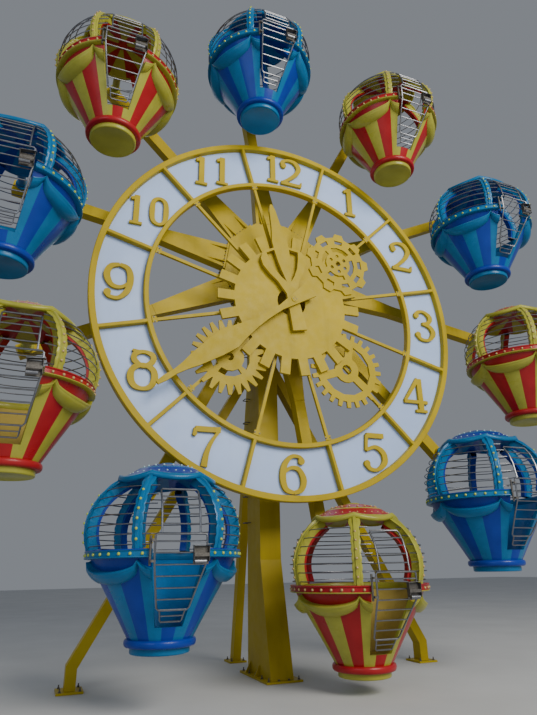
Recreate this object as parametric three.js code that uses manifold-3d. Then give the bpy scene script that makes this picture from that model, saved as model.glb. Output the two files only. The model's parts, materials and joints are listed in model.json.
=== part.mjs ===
// A fairground wheel with ten balloon cabins that hang level round a standing clock face.
// Millimetres, +Z up. The clock and the cabin doors face -Y. The origin is the centre of the
// main column's base, on the ground.
import * as THREE from "three";
import { mergeVertices } from "three/addons/utils/BufferGeometryUtils.js";
import Module from "manifold-3d";

const wasm = await Module();
wasm.setup();

// Driving dimensions
const axleHeight = 7060;
const clockHeight = 6090;
const clockFront = -1440;
const cabinCount = 10;
const pivotRadius = 4750;
const topCabinAngle = -8.76;
const cabinAxisY = -1990;
const seatGap = 0.3;

// The wheel: a ten-sided hub with a tapered box arm on each flat
const hubFlat = 1020;
const hubFront = -940;
const hubBack = -560;
const armFront = -885;
const armDepth = 190;
const armRootWidth = 500;
const armWidth = 200;
const armTaperEnd = 2600;
const armTipReach = 150;
const armFlangeDepth = 320;
const armFlangeThickness = 40;
const axleRadius = 230;
const axleClearance = 12;
const axleReach = 45;

// The tower
const columnWidth = 380;
const columnDepth = 650;
const columnTop = 7420;
const kneeHeight = 1780;
const columnFlare = 400;
const basePlate = 30;
const basePlateMargin = 110;
const braceFootX = 3075;
const braceKneeHeight = 330;
const braceTopHeight = 5370;
const braceWidth = 160;
const braceDepth = 220;
const rearFootY = 1590;
const rearTopY = 340;
const rearTopHeight = 6400;
const rearLegWidth = 150;
const rearLegDepth = 190;

// The clock
const clockSides = 60;
const rimOuter = 3475;
const rimInner = 3370;
const innerRimOuter = 2600;
const innerRimInner = 2520;
const rimDepth = 150;
const innerRimDepth = 130;
const dialSetBack = 110;
const dialThickness = 20;
const dividerWidth = 60;
const rodWidth = 52;
const rodSetBack = 5;
const hourCount = 12;
const numeralRelief = 55;
const numeralPitch = 400;
const gearPlateFront = -1552;
const gearPlateThickness = 60;
const gearPlateRadius = 1075;
const gearPlateTip = 1375;
const gearPlateTeeth = 22;
const gearPlateToothWidth = 178;
const gearPlatePhase = 6.7;
const gearPlateHole = 272;
const bossRadius = 440;
const bossPlate = 60;
const spindleRadius = 60;
const spindleReach = 18;

// A cabin, measured from its pivot
const cabinSides = 20;
const railTop = -960;
const railBottom = -1060;
const railRadius = 1010;
const tubTopRadius = 925;
const tubNeck = -1100;
const tubWall = 45;
const drapeStep = 15;
const drapeMiddle = { top: -1215, low: -1350, out: 955 };
const drapeEnd = { top: -1090, low: -1150, out: 975 };
const ringTop = -1985;
const ringRadius = 445;
const ringCorner = 25;
const coneFoot = 410;
const discTop = -2080;
const discRadius = 360;
const cabinBottom = -2160;
const floorTop = -1900;
const domeTop = 195;
const crownTop = -15;
const crownBottom = -120;
const crownRadius = 655;
const ribAngles = [30, 90, 150, 210, 270, 330];
const doorHalfAngle = 20;
const doorSill = -1800;
const pivotShaftRadius = 70;
const gateBar = 24;
const gateHinge = { x: -355, y: -965, z: -1150, radius: 15, length: 330 };

const cabinAngles = Array.from({ length: cabinCount }, (_, i) => topCabinAngle + (360 / cabinCount) * i);
const radians = THREE.MathUtils.degToRad;

// Materials

const paints = {
  yellow: new THREE.MeshStandardMaterial({ color: 0xc8a94a, roughness: 0.45, metalness: 0.1 }),
  dial: new THREE.MeshStandardMaterial({ color: 0xd5dbe6, roughness: 0.5, metalness: 0 }),
  redShell: new THREE.MeshStandardMaterial({ color: 0xb3201f, roughness: 0.35, metalness: 0 }),
  yellowShell: new THREE.MeshStandardMaterial({ color: 0xd6c848, roughness: 0.35, metalness: 0 }),
  blueShell: new THREE.MeshStandardMaterial({ color: 0x0d4fa8, roughness: 0.35, metalness: 0 }),
  tealShell: new THREE.MeshStandardMaterial({ color: 0x1c8fb5, roughness: 0.35, metalness: 0 }),
  stainless: new THREE.MeshStandardMaterial({ color: 0xc2c5ca, roughness: 0.3, metalness: 1 }),
};

// Solids: closed geometry in, closed geometry out

function solid(geometry) {
  const bare = geometry.clone();
  bare.deleteAttribute("normal");
  bare.deleteAttribute("uv");
  const merged = mergeVertices(bare, 1e-3);
  return new wasm.Manifold(
    new wasm.Mesh({
      numProp: 3,
      vertProperties: new Float32Array(merged.attributes.position.array),
      triVerts: new Uint32Array(merged.index.array),
    }),
  );
}

const fuse = (pieces) => pieces.slice(1).reduce((whole, piece) => whole.add(piece), pieces[0]);

function geometryOf(manifold) {
  const mesh = manifold.getMesh();
  const geometry = new THREE.BufferGeometry();
  geometry.setAttribute("position", new THREE.BufferAttribute(mesh.vertProperties, 3));
  geometry.setIndex(new THREE.BufferAttribute(mesh.triVerts, 1));
  geometry.computeVertexNormals();
  return geometry;
}

const boxBetween = (low, high) =>
  solid(
    new THREE.BoxGeometry(high[0] - low[0], high[1] - low[1], high[2] - low[2]).translate(
      (low[0] + high[0]) / 2,
      (low[1] + high[1]) / 2,
      (low[2] + high[2]) / 2,
    ),
  );

const vectors = (points) => points.map(([x, z]) => new THREE.Vector2(x, z));

function shapeOf(points, holes = []) {
  const outline = vectors(points);
  const shape = new THREE.Shape(THREE.ShapeUtils.isClockWise(outline) ? outline.reverse() : outline);
  shape.holes = holes.map((hole) => new THREE.Path(vectors(hole)));
  return shape;
}

// A plate that stands in the XZ plane, from yFront back to yBack
const standing = (shape, yFront, yBack) =>
  solid(
    new THREE.ExtrudeGeometry(shape, { depth: yBack - yFront, bevelEnabled: false })
      .rotateX(Math.PI / 2)
      .translate(0, yBack, 0),
  );

// A plate that stands in the YZ plane, between two x values
const sideways = (points, xLow, xHigh) =>
  solid(
    new THREE.ExtrudeGeometry(shapeOf(points), { depth: xHigh - xLow, bevelEnabled: false })
      .rotateX(Math.PI / 2)
      .rotateZ(Math.PI / 2)
      .translate(xLow, 0, 0),
  );

// An eight-cornered beam between two rectangular ends
function beam(lowEnd, highEnd) {
  const corners = [...lowEnd, ...highEnd];
  const faces = [0, 3, 2, 0, 2, 1, 4, 5, 6, 4, 6, 7];
  for (let i = 0; i < 4; i++) {
    const j = (i + 1) % 4;
    faces.push(i, j, 4 + j, i, 4 + j, 4 + i);
  }
  const geometry = new THREE.BufferGeometry();
  geometry.setAttribute("position", new THREE.BufferAttribute(new Float32Array(corners.flat()), 3));
  geometry.setIndex(faces);
  return solid(geometry);
}

const circle = (radius, sides, turn = 0, x = 0, z = 0) =>
  Array.from({ length: sides }, (_, i) => {
    const a = ((i + turn) / sides) * 2 * Math.PI;
    return [x + radius * Math.cos(a), z + radius * Math.sin(a)];
  });

// A point at a clock angle, clockwise from the top
const polar = (radius, degrees) => [
  radius * Math.sin(radians(degrees)),
  radius * Math.cos(radians(degrees)),
];

const turned = (manifold, degrees) => manifold.rotate([0, degrees, 0]);
const raised = (manifold, height) => manifold.translate([0, 0, height]);

const part = new THREE.Group();

function place(name, geometry, material, parent) {
  const mesh = new THREE.Mesh(geometry, material);
  mesh.name = name;
  parent.add(mesh);
}

// The tower: a column with a forward flare at its foot, a rear leg and two side braces

function column() {
  const half = columnDepth / 2;
  const outline = [
    [-half - columnFlare, basePlate],
    [half, basePlate],
    [half, columnTop],
    [-half, columnTop],
    [-half, kneeHeight],
  ];
  const plateFront = -half - columnFlare - basePlateMargin;
  const plateBack = half + basePlateMargin;
  const plateSide = columnWidth / 2 + basePlateMargin;
  const foot = boxBetween([-plateSide, plateFront, 0], [plateSide, plateBack, basePlate]);
  const shaft = sideways(outline, -columnWidth / 2, columnWidth / 2);
  const gusset = { height: 200, thickness: 25, inset: 15, places: [-250, 180] };
  const gussets = [-1, 1].flatMap((side) =>
    gusset.places.map((y) => {
      const inner = (side * columnWidth) / 2 - side;
      const outer = side * (plateSide - gusset.inset);
      const wedge = shapeOf([[inner, basePlate - 1], [outer, basePlate - 1], [inner, gusset.height]]);
      return standing(wedge, y, y + gusset.thickness);
    }),
  );
  return fuse([shaft, foot, ...gussets]);
}

// The rear leg leans forward until it lies against the back of the column
function rearLeg() {
  const side = rearLegWidth / 2;
  const half = rearLegDepth / 2;
  const columnBack = columnDepth / 2 + seatGap;
  const end = (y, z) => [
    [-side, y - half, z],
    [side, y - half, z],
    [side, y + half, z],
    [-side, y + half, z],
  ];
  const leg = beam(end(rearFootY, basePlate - 1), end(rearTopY, rearTopHeight));
  const margin = 90;
  const plate = boxBetween(
    [-side - margin, rearFootY - half - margin, 0],
    [side + margin, rearFootY + half + margin, basePlate],
  );
  const columnSpace = boxBetween([-columnWidth, -columnDepth, 0], [columnWidth, columnBack, columnTop]);
  return fuse([leg, plate]).subtract(columnSpace);
}

// A brace rises from its foot to a knee, and leans in from there to the side of the column
function sideBrace(side) {
  const half = braceWidth / 2;
  const columnSide = columnWidth / 2 + seatGap;
  const slope = Math.atan2(braceTopHeight - braceKneeHeight, braceFootX - columnSide);
  const kneeRise = half * Math.tan((Math.PI / 2 - slope) / 2);
  const topRise = half / Math.cos(slope);
  const outline = [
    [columnSide, braceTopHeight + topRise],
    [braceFootX + half, braceKneeHeight + kneeRise],
    [braceFootX + half, basePlate - 1],
    [braceFootX - half, basePlate - 1],
    [braceFootX - half, braceKneeHeight - kneeRise],
    [columnSide, braceTopHeight - topRise],
  ];
  const flip = ([x, z]) => [side * x, z];
  const post = standing(shapeOf(outline.map(flip)), -braceDepth / 2, braceDepth / 2);
  const margin = 110;
  const plate = boxBetween(
    [side * braceFootX - half - margin, -braceDepth / 2 - margin, 0],
    [side * braceFootX + half + margin, braceDepth / 2 + margin, basePlate],
  );
  return fuse([post, plate]);
}

// The fixed axle runs forward from the column through the turning hub and carries the clock

function fixedAxle() {
  const columnFace = -columnDepth / 2 - seatGap;
  const sides = 24;
  const disc = (radius, front, back) =>
    raised(standing(shapeOf(circle(radius, sides)), front, back), axleHeight);
  const flange = { radius: 540, thickness: 60 };
  const housing = disc(470, hubBack + seatGap, columnFace);
  const shaft = disc(axleRadius, hubFront - axleReach, hubBack + 1);
  const foot = disc(flange.radius, columnFace - flange.thickness, columnFace);
  return fuse([housing, shaft, foot]);
}

function clockHanger() {
  const front = clockFront + rimDepth + seatGap;
  const back = hubFront - axleReach - seatGap;
  const half = 170;
  const flangeThickness = 90;
  const plate = boxBetween(
    [-half, front, clockHeight - 420],
    [half, back - flangeThickness + 10, axleHeight + 250],
  );
  const flange = raised(standing(shapeOf(circle(330, 24)), back - flangeThickness, back), axleHeight);
  return fuse([plate, flange]);
}

// The clock: rods, two rims and a dial that stand on edge

// Half way along a side, a rim with clockSides sides is this much nearer to the clock's centre
const midSide = Math.cos(Math.PI / clockSides);

const atHalfHours = (manifold) =>
  Array.from({ length: hourCount }, (_, i) => turned(manifold, (360 / hourCount) * (i + 0.5)));

const rim = (outer, inner, depth) =>
  standing(shapeOf(circle(outer, clockSides), [circle(inner, clockSides)]), clockFront, clockFront + depth);

function clockRods() {
  const front = clockFront + rodSetBack;
  const back = clockFront + rimDepth;
  const boss = standing(
    shapeOf(circle(bossRadius, 24), [circle(gearPlateHole, 24)]),
    gearPlateFront + gearPlateThickness + seatGap,
    back,
  );
  const backPlate = standing(shapeOf(circle(bossRadius - 5, 24)), back - bossPlate, back);
  const spindle = standing(
    shapeOf(circle(spindleRadius, 12)),
    gearPlateFront - spindleReach,
    back - bossPlate / 2,
  );
  const rod = boxBetween(
    [-rodWidth / 2, front, bossRadius - 20],
    [rodWidth / 2, front + rodWidth, innerRimInner * midSide - seatGap],
  );
  return raised(fuse([boss, backPlate, spindle, ...atHalfHours(rod)]), clockHeight);
}

const outerRim = () => raised(rim(rimOuter, rimInner, rimDepth), clockHeight);

function innerRim() {
  const divider = boxBetween(
    [-dividerWidth / 2, clockFront, innerRimOuter - 15],
    [dividerWidth / 2, clockFront + dialSetBack - seatGap, rimInner * midSide - seatGap],
  );
  const ring = rim(innerRimOuter, innerRimInner, innerRimDepth);
  return raised(fuse([ring, ...atHalfHours(divider)]), clockHeight);
}

// Digits: each stroke is a run of [x, z, half width], measured from the middle of the digit

const digitStrokes = {
  0: [[[0, 302, 30], [115, 225, 44], [140, 0, 54], [115, -225, 44], [0, -302, 30],
    [-115, -225, 44], [-140, 0, 54], [-115, 225, 44]]],
  1: [[[10, 330, 54], [10, -330, 54]], [[-108, 235, 30], [10, 285, 44]],
    [[-110, -302, 28], [130, -302, 28]]],
  2: [[[-172, 150, 62], [-190, 235, 44], [-60, 306, 28], [95, 285, 46], [185, 150, 54], [120, -10, 46],
    [-60, -190, 36], [-200, -290, 30]], [[-230, -298, 36], [230, -298, 36]],
  [[212, -290, 30], [232, -200, 14]]],
  3: [[[-185, 205, 56], [-120, 290, 34], [20, 306, 28], [150, 200, 50], [100, 75, 40], [-50, 40, 26]],
    [[-50, 40, 26], [120, -10, 42], [190, -150, 54], [70, -300, 32], [-110, -304, 30], [-188, -205, 58]]],
  4: [[[85, 325, 42], [-235, -112, 28]], [[-258, -132, 32], [258, -132, 32]],
    [[110, 330, 54], [110, -330, 54]], [[-15, -306, 26], [235, -306, 26]]],
  5: [[[-150, 290, 44], [195, 290, 44]], [[-150, 300, 28], [-178, 20, 28]],
    [[-178, 25, 28], [10, 88, 34], [165, -10, 50], [180, -180, 52], [30, -305, 30], [-115, -300, 34],
      [-188, -205, 58]]],
  6: [[[170, 220, 60], [120, 302, 30], [-30, 296, 34], [-160, 140, 50], [-190, -80, 54], [-135, -250, 44],
    [0, -304, 30]], [[0, -304, 30], [140, -250, 44], [190, -90, 54], [110, 80, 40], [-40, 108, 30],
    [-165, 20, 26]]],
  7: [[[-205, 290, 46], [228, 290, 46]], [[-205, 300, 30], [-222, 195, 26]],
    [[212, 285, 24], [75, 90, 32], [-10, -110, 44], [-50, -330, 56]]],
  8: [[[0, 84, 34], [150, 20, 46], [188, -120, 54], [130, -258, 44], [0, -304, 30], [-130, -258, 44],
    [-188, -120, 54], [-150, 20, 46]],
  [[0, 306, 28], [135, 260, 42], [140, 150, 46], [0, 66, 34], [-140, 150, 46], [-135, 260, 42]],
  [[-60, 296, 28], [-185, 318, 18]]],
};
digitStrokes[9] = digitStrokes[6].map((stroke) => stroke.map(([x, z, half]) => [-x, -z, half]));
const ringStrokes = { 0: 1, 8: 2 };

// Where each numeral stands on the dial, with its size and the rise of its second digit
const numerals = [
  { hour: 1, x: 1470, z: 2640 },
  { hour: 2, x: 2610, z: 1580 },
  { hour: 3, x: 2995, z: 55 },
  { hour: 4, x: 2580, z: -1435 },
  { hour: 5, x: 1590, z: -2570 },
  { hour: 6, x: 5, z: -3025, size: 0.97 },
  { hour: 7, x: -1450, z: -2655, size: 0.95 },
  { hour: 8, x: -2515, z: -1505 },
  { hour: 9, x: -3005, z: -15 },
  { hour: 10, x: -2615, z: 1445, size: 0.88, rise: 50 },
  { hour: 11, x: -1480, z: 2615, size: 0.93, rise: 100 },
  { hour: 12, x: -35, z: 3020, size: 0.95 },
];

// One stroke as a plate: its centre line is a smooth curve and its width changes along it
function strokePlate(points, closed, yFront, yBack) {
  const curve = new THREE.CatmullRomCurve3(
    points.map(([x, z, half]) => new THREE.Vector3(x, half, z)),
    closed,
    "centripetal",
  );
  const steps = points.length > 2 ? Math.round(points.length * 1.6) : 1;
  const count = closed ? steps : steps + 1;
  const left = [];
  const right = [];
  for (let i = 0; i < count; i++) {
    const at = curve.getPoint(i / steps);
    const along = curve.getTangent(i / steps);
    const length = Math.hypot(along.x, along.z);
    const side = [-along.z / length, along.x / length];
    left.push([at.x + side[0] * at.y, at.z + side[1] * at.y]);
    right.push([at.x - side[0] * at.y, at.z - side[1] * at.y]);
  }
  const shape = closed ? shapeOf(left, [right]) : shapeOf([...left, ...right.reverse()]);
  return standing(shape, yFront, yBack);
}

function numeral({ hour, x, z, size = 1, rise = 0 }, yFront, yBack) {
  const digits = String(hour).split("");
  const pieces = digits.map((digit, i) => {
    const place = i - (digits.length - 1) / 2;
    const plates = digitStrokes[digit].map((points, s) =>
      strokePlate(points, s < (ringStrokes[digit] ?? 0), yFront, yBack),
    );
    return fuse(plates)
      .scale([size, 1, size])
      .translate([x + place * numeralPitch, 0, z + place * rise]);
  });
  return fuse(pieces);
}

function dial() {
  const front = clockFront + dialSetBack;
  const plate = standing(
    shapeOf(circle(rimInner - seatGap, clockSides), [circle(innerRimOuter + seatGap, clockSides)]),
    front,
    front + dialThickness,
  );
  const hours = numerals.map((place) => numeral(place, front - numeralRelief, front + 5));
  return raised(fuse([plate, ...hours]), clockHeight);
}

// Gears: a toothed outline with cut-outs, as a plate

function toothed(radius, root, teeth, tipShare, rootShare, phase = 0) {
  const points = [];
  for (let i = 0; i < teeth; i++) {
    const middle = phase + (360 / teeth) * i;
    const step = 180 / teeth;
    points.push(polar(root, middle - step * rootShare), polar(radius, middle - step * tipShare));
    points.push(polar(radius, middle + step * tipShare), polar(root, middle + step * rootShare));
  }
  return points;
}

// A slot bounded by two arcs, as seen from the gear's centre
function arcSlot(inner, outer, from, to, steps = 3) {
  const at = (radius, i) => polar(radius, from + ((to - from) * i) / steps);
  const near = Array.from({ length: steps + 1 }, (_, i) => at(inner, i));
  const far = Array.from({ length: steps + 1 }, (_, i) => at(outer, steps - i));
  return [...near, ...far];
}

function gearPlate() {
  const share = (radius) =>
    (THREE.MathUtils.radToDeg(gearPlateToothWidth / 2 / radius) * gearPlateTeeth) / 180;
  const outline = toothed(
    gearPlateTip,
    gearPlateRadius,
    gearPlateTeeth,
    share(gearPlateTip),
    share(gearPlateRadius),
    gearPlatePhase,
  );
  const shape = shapeOf(outline, [circle(gearPlateHole, 24)]);
  return raised(standing(shape, gearPlateFront, gearPlateFront + gearPlateThickness), clockHeight);
}

// The same cut-out, repeated round a gear's centre from a first angle
const around = (count, first, cutOut) =>
  Array.from({ length: count }, (_, i) => cutOut(first + (360 / count) * i));

// Short-toothed gear with a row of windows, four curved slots and a ring of holes
function upperGearShape() {
  const phase = 4;
  const windows = around(9, phase, (a) => arcSlot(430, 510, a - 10, a + 10, 1));
  const slots = around(4, 10.5, (a) => arcSlot(255, 345, a - 34, a + 34));
  const holes = around(6, -4.6, (a) => circle(38, 6, 0, ...polar(160, a)));
  return shapeOf(toothed(655, 572, 9, 0.34, 0.58, phase), [...windows, ...slots, ...holes, circle(55, 8)]);
}

// Gear with pointed gaps between its teeth and four curved slots
function leftGearShape() {
  const slots = around(4, 0, (a) => arcSlot(250, 350, a - 36, a + 36));
  return shapeOf(toothed(660, 488, 24, 0.3, 0.9, -0.7), [...slots, circle(70, 8)]);
}

// Gear with three broad bays between parallel spokes
function rightGearShape() {
  const hubEdge = { radius: 240, halfSpan: 42.5 };
  const rimEdge = { radius: 475, halfSpan: 51 };
  const steps = 4;
  const edge = ({ radius, halfSpan }, middle) =>
    Array.from({ length: steps + 1 }, (_, i) => polar(radius, middle + halfSpan * ((2 * i) / steps - 1)));
  const bays = around(3, 71, (a) => [...edge(hubEdge, a), ...edge(rimEdge, a).reverse()]);
  return shapeOf(toothed(705, 597, 24, 0.38, 0.52), [...bays, circle(97, 8)]);
}

const smallGears = {
  upper: { x: 990, z: 970, thickness: 30, shape: upperGearShape() },
  left: { x: -1125, z: -1151, thickness: 40, shape: leftGearShape() },
  right: { x: 1072, z: -1139, thickness: 40, shape: rightGearShape() },
};

// The upper gear is in front of the toothed plate, and the two lower ones are behind it
function smallGear(kind) {
  const { x, z, thickness, shape } = smallGears[kind];
  const behind = gearPlateFront + gearPlateThickness + seatGap;
  const front = kind === "upper" ? gearPlateFront - thickness - seatGap : behind;
  return standing(shape, front, front + thickness).translate([x, 0, clockHeight + z]);
}

// The hands turn on the spindle in front of the gear plate

const hourHand = { angle: -11.5, back: -1590, front: -1645, hubRadius: 95 };
const minuteHand = { angle: -127.5, back: -1660, front: -1705, hubRadius: 80 };

const mirrored = (half) => [...half, ...half.map(([x, z]) => [-x, z]).reverse()];

function handSolid({ angle, back, front, hubRadius }, half, slot, hubBackY) {
  const slots = slot.length ? [slot, slot.map(([x, z]) => [-x, z])] : [];
  const blade = standing(shapeOf(mirrored(half), slots), front, back);
  const hub = standing(shapeOf(circle(hubRadius, 12)), front, hubBackY);
  return raised(turned(fuse([blade, hub]), angle), clockHeight);
}

function hourHandSolid() {
  const half = [
    [140, -570],
    [118, -200],
    [100, 140],
    [145, 230],
    [223, 400],
    [332, 535],
    [432, 710],
    [450, 850],
    [412, 930],
    [341, 1008],
    [150, 1060],
    [155, 1190],
    [100, 1476],
    [60, 1850],
    [22, 1976],
  ];
  const slot = [
    [150, 1015],
    [317, 960],
    [288, 818],
    [225, 626],
    [130, 470],
    [45, 370],
    [95, 600],
    [126, 786],
  ];
  return handSolid(hourHand, half, slot, gearPlateFront - spindleReach - seatGap);
}

function minuteHandSolid() {
  const half = [
    [157, -420],
    [100, -30],
    [50, 330],
    [58, 670],
    [86, 950],
    [144, 1270],
    [195, 1460],
    [189, 1610],
    [177, 1780],
    [151, 1970],
    [115, 2215],
    [68, 2420],
    [42, 2610],
    [48, 2800],
    [30, 2950],
  ];
  return handSolid(minuteHand, half, [], hourHand.front - seatGap);
}

// The turning wheel

function hub() {
  const corner = hubFlat / Math.cos(Math.PI / cabinCount);
  const block = standing(
    shapeOf(
      cabinAngles.map((angle) => polar(corner, angle + 180 / cabinCount)),
      [circle(axleRadius + axleClearance, 24)],
    ),
    hubFront,
    hubBack,
  );
  return raised(block, axleHeight);
}

// An arm, pointing straight up from the hub's centre
function armSolid() {
  const root = hubFlat + seatGap;
  const tip = pivotRadius + armTipReach;
  const half = armRootWidth / 2;
  const outline = [
    [-half, root],
    [half, root],
    [armWidth / 2, armTaperEnd],
    [armWidth / 2, tip],
    [-armWidth / 2, tip],
    [-armWidth / 2, armTaperEnd],
  ];
  const beamSolid = standing(shapeOf(outline), armFront, armFront + armDepth);
  const flangeBack = (hubFront + hubBack) / 2 + armFlangeDepth / 2;
  const flange = boxBetween(
    [-half - 40, flangeBack - armFlangeDepth, root],
    [half + 40, flangeBack, root + armFlangeThickness],
  );
  const rib = { places: [-150, 150], depth: 55, height: 380, half: 8 };
  const ribBase = root + armFlangeThickness - 10;
  const ribs = rib.places.map((x) =>
    sideways(
      [[armFront - rib.depth, ribBase], [armFront + 1, ribBase], [armFront + 1, root + rib.height]],
      x - rib.half,
      x + rib.half,
    ),
  );
  return fuse([beamSolid, flange, ...ribs]);
}

// A cabin: an inverted cone under a rail, six ribs, and a domed roof that hangs on the pivot

function turnedProfile(points, sides = cabinSides) {
  return solid(new THREE.LatheGeometry(vectors(points), sides).rotateX(Math.PI / 2));
}

const shellRadius = (z) => {
  const share = (z - ringTop) / (tubNeck - ringTop);
  return coneFoot + Math.min(share, 1) * (tubTopRadius - coneFoot);
};

// A ring whose section changes on the way round, from one outline of [radius, z] for each equal step
function changingRing(sections) {
  const sides = sections[0].length;
  const corners = sections.flatMap((section, i) => {
    const a = (i / sections.length) * 2 * Math.PI;
    return section.flatMap(([r, z]) => [r * Math.sin(a), -r * Math.cos(a), z]);
  });
  const faces = sections.flatMap((section, i) => {
    const here = i * sides;
    const next = ((i + 1) % sections.length) * sides;
    return section.flatMap((_, j) => {
      const k = (j + 1) % sides;
      return [here + j, next + j, next + k, here + j, next + k, here + k];
    });
  });
  const geometry = new THREE.BufferGeometry();
  geometry.setAttribute("position", new THREE.BufferAttribute(new Float32Array(corners), 3));
  geometry.setIndex(faces);
  return solid(geometry);
}

// The rolled drape under the rail: it sags between the ribs and is knotted up at each of them
function drape() {
  const bay = 360 / ribAngles.length;
  const bed = 25;
  const undersideShare = 0.4;
  const sections = Array.from({ length: 360 / drapeStep }, (_, i) => {
    const fromMiddle = Math.abs((((i * drapeStep + bay / 2) % bay) * 2) / bay - 1);
    const lift = 1 - Math.sqrt(1 - fromMiddle ** 2);
    const [top, low, out] = ["top", "low", "out"].map(
      (key) => drapeMiddle[key] + lift * (drapeEnd[key] - drapeMiddle[key]),
    );
    const shell = shellRadius(low);
    return [
      [shellRadius(top) - bed, top],
      [shell - bed, low],
      [shell + undersideShare * (out - shell), low],
      [out, (top + low) / 2],
      [out - bed, top],
    ];
  });
  return changingRing(sections);
}

function tub() {
  const body = turnedProfile([
    [0, cabinBottom],
    [discRadius, cabinBottom],
    [discRadius, discTop],
    [ringRadius - ringCorner, discTop],
    [ringRadius, discTop + ringCorner],
    [ringRadius, ringTop - ringCorner],
    [coneFoot, ringTop],
    [tubTopRadius, tubNeck],
    [tubTopRadius, railBottom],
    [railRadius, railBottom],
    [railRadius, railTop],
    [tubTopRadius - tubWall, railTop],
    [tubTopRadius - tubWall, tubNeck],
    [shellRadius(floorTop) - tubWall, floorTop],
    [0, floorTop],
  ]);
  const reach = 1400;
  const [edgeX, edgeY] = polar(reach, doorHalfAngle);
  const sector = new THREE.ExtrudeGeometry(shapeOf([[0, 0], [edgeX, -edgeY], [-edgeX, -edgeY]]), {
    depth: railTop - doorSill + 100,
    bevelEnabled: false,
  }).translate(0, 0, doorSill);
  const doorway = solid(sector);
  const hingeLug = boxBetween([-385, -985, -1190], [-325, -780, gateHinge.z]);
  return fuse([body.add(drape()).subtract(doorway), hingeLug]);
}

// A rib leans in from the rail to the crown, along the balloon's side
function rib(angle) {
  const profile = [
    [990, railTop + seatGap],
    [1035, -750],
    [1020, -550],
    [895, -285],
    [650, crownBottom + 45],
  ];
  const inward = 145;
  const outline = [...profile, ...profile.map(([r, z]) => [r - inward, z]).reverse()];
  const half = 65;
  return sideways(outline.map(([r, z]) => [-r, z]), -half, half).rotate([0, 0, angle]);
}

function canopy() {
  const roof = turnedProfile([
    [0, 60],
    [600, crownBottom],
    [crownRadius, crownBottom],
    [crownRadius - 45, crownTop],
    [380, 125],
    [0, domeTop],
  ]);
  const ribs = ribAngles.map(rib);
  const pivotShaft = standing(shapeOf(circle(pivotShaftRadius, 8)), 500, armFront - cabinAxisY - seatGap);
  return fuse([roof, ...ribs, pivotShaft]);
}

// The gate: a ladder frame that follows the cone below the rail and leans in above it

// One flat frame of the gate, between two heights, with its sides and end rungs
function gateFrame(low, high, rungs = []) {
  const rise = high.z - low.z;
  const length = Math.hypot(rise, high.y - low.y);
  const window = (from, to) => {
    const width = (t) => low.x + ((high.x - low.x) * t) / length - gateBar;
    return [[-width(from), from], [width(from), from], [width(to), to], [-width(to), to]];
  };
  const stops = [0, ...rungs, length - gateBar];
  const windows = stops.slice(1).map((stop, i) => window(stops[i] + gateBar, stop));
  const outline = [[-low.x, 0], [low.x, 0], [high.x, length], [-high.x, length]];
  const lean = THREE.MathUtils.radToDeg(Math.atan2(high.y - low.y, rise));
  return standing(shapeOf(outline, windows), -gateBar, 0)
    .rotate([-lean, 0, 0])
    .translate([0, low.y, low.z]);
}

function gate() {
  const foot = { x: 176, y: -545, z: -1740 };
  const knee = { x: 326, y: -974, z: -1110 };
  const shelf = { x: 326, y: -974, z: -795 };
  const head = { x: 240, y: -905, z: -560 };
  const frames = [
    gateFrame(foot, knee, [340]),
    gateFrame({ ...knee, z: knee.z - 12 }, shelf),
    gateFrame({ ...head, y: -960, z: shelf.z - gateBar }, head),
    gateFrame({ ...head, z: head.z - gateBar / 2 }, { x: 228, y: -765, z: -256 }),
  ];
  const { x, y, z, radius, length } = gateHinge;
  const barrel = solid(
    new THREE.CylinderGeometry(radius, radius, length, 6)
      .rotateX(Math.PI / 2)
      .translate(x, y, z + seatGap + length / 2),
  );
  const strap = boxBetween([x, y - 30, -1060], [1 - shelf.x + gateBar / 2, y - 8, -1030]);
  return fuse([...frames, barrel, strap]);
}

// Assembly

const yellowPieces = {
  main_column: column(),
  rear_leg: rearLeg(),
  left_brace: sideBrace(-1),
  right_brace: sideBrace(1),
  fixed_axle: fixedAxle(),
  clock_hanger: clockHanger(),
  clock_rods: clockRods(),
  outer_rim: outerRim(),
  inner_rim: innerRim(),
  gear_plate: gearPlate(),
  gear_upper: smallGear("upper"),
  gear_left: smallGear("left"),
  gear_right: smallGear("right"),
  hour_hand: hourHandSolid(),
  minute_hand: minuteHandSolid(),
  wheel_hub: hub(),
};

for (const [name, manifold] of Object.entries(yellowPieces)) {
  place(name, geometryOf(manifold), paints.yellow, part);
}
place("dial", geometryOf(dial()), paints.dial, part);

const arm = armSolid();
const cabinPieces = { tub: geometryOf(tub()), canopy: geometryOf(canopy()), gate: geometryOf(gate()) };

cabinAngles.forEach((angle, i) => {
  const number = String(i + 1).padStart(2, "0");
  place("arm_" + number, geometryOf(raised(turned(arm, angle), axleHeight)), paints.yellow, part);
  const [x, z] = polar(pivotRadius, angle);
  const cabin = new THREE.Group();
  cabin.position.set(x, cabinAxisY, axleHeight + z);
  part.add(cabin);
  const shell = i % 2 ? [paints.redShell, paints.yellowShell] : [paints.blueShell, paints.tealShell];
  const materials = { tub: shell[0], canopy: shell[1], gate: paints.stainless };
  for (const [name, geometry] of Object.entries(cabinPieces)) {
    place(name + "_" + number, geometry, materials[name], cabin);
  }
});

export default part;
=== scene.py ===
"""Finishes and fine detail of a fairground wheel whose balloon cabins pass a standing clock face."""
import json
import math

import bmesh
import bpy
from mathutils import Matrix, Vector
from mathutils.geometry import tessellate_polygon


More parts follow.
